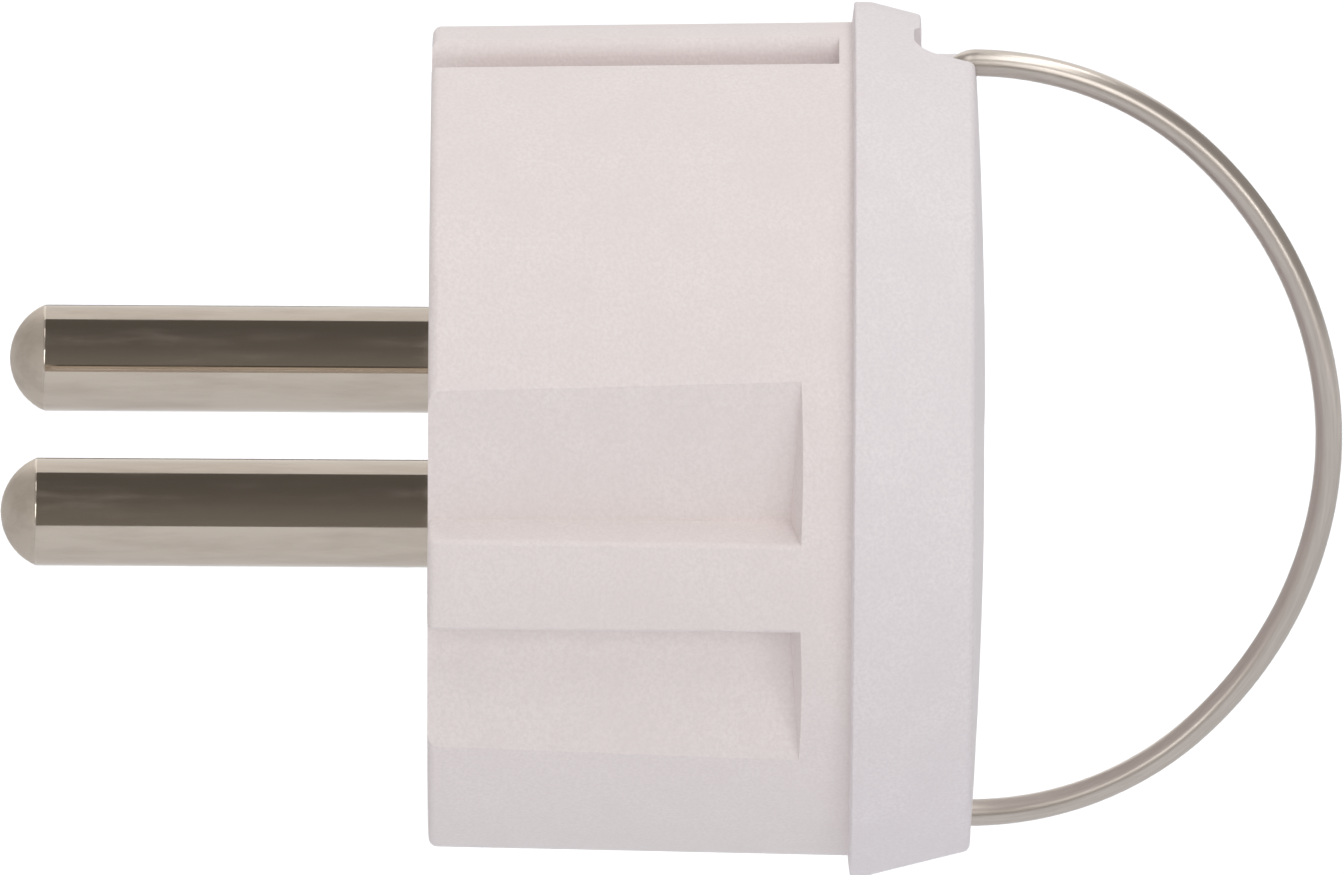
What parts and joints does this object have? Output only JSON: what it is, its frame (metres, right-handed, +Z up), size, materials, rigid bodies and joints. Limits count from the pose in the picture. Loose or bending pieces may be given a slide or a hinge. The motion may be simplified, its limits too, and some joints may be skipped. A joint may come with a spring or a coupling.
{
  "type": "usb plug adapter",
  "caption": "Round wall-plug adapter with bare contact pins, ribbed guide pockets, a conical cover with a domed back and USB socket, and a hinged wire loop to pull it out.",
  "frame": {"origin": "centre between the two pins, in the plane of the plug's flat engagement face", "axes": "+Y into the wall along the pins, +X from one pin to the other, +Z up along the pull loop's hinge"},
  "size_m": [0.039, 0.0597, 0.039],
  "materials": {
    "shell_plastic": "fine moulded grain, warm white",
    "cover_plastic": "fine moulded grain, cool white",
    "pin_metal": "nickel plated, turned",
    "retainer_plastic": "glass-filled, dull",
    "wire_metal": "nickel plated, drawn",
    "board_laminate": "glass-epoxy laminate with solder mask",
    "receptacle_metal": "tin plated sheet",
    "receptacle_plastic": "moulded, dull",
    "contact_metal": "gold flash",
    "ferrite": "sintered, dull",
    "bobbin_plastic": "moulded phenolic",
    "winding_tape": "polyester tape",
    "capacitor_sleeve": "heat-shrunk sleeve",
    "disc_lacquer": "dipped lacquer",
    "resistor_body": "flameproof coating",
    "chip_moulding": "moulded epoxy",
    "chip_ceramic": "fired"
  },
  "bodies": {
    "housing": {"front_shell": "shell_plastic", "rear_cover": "cover_plastic", "left_pin": "pin_metal", "right_pin": "pin_metal", "pin_retainer": "retainer_plastic", "circuit_board": "board_laminate", "usb_shell": "receptacle_metal", "usb_insulator": "receptacle_plastic", "usb_contacts": "contact_metal", "core_front": "ferrite", "core_rear": "ferrite", "bobbin": "bobbin_plastic", "winding": "winding_tape", "input_capacitor_left": "capacitor_sleeve", "input_capacitor_right": "capacitor_sleeve", "output_capacitor": "capacitor_sleeve", "filter_choke": "ferrite", "safety_capacitor": "disc_lacquer", "fusible_resistor": "resistor_body", "bridge_rectifier": "chip_moulding", "control_chip": "chip_moulding", "output_diode": "chip_moulding", "chip_resistors": "chip_ceramic", "chip_capacitors": "chip_ceramic"},
    "bail": {"pull_bail": "wire_metal"}
  },
  "joints": [
    {"name": "bail_hinge", "type": "hinge", "parent": "housing", "child": "bail", "pos_m": [0, -0.02332, 0], "axis": [0, 0, 1], "range_deg": [-20, 90]}
  ]
}
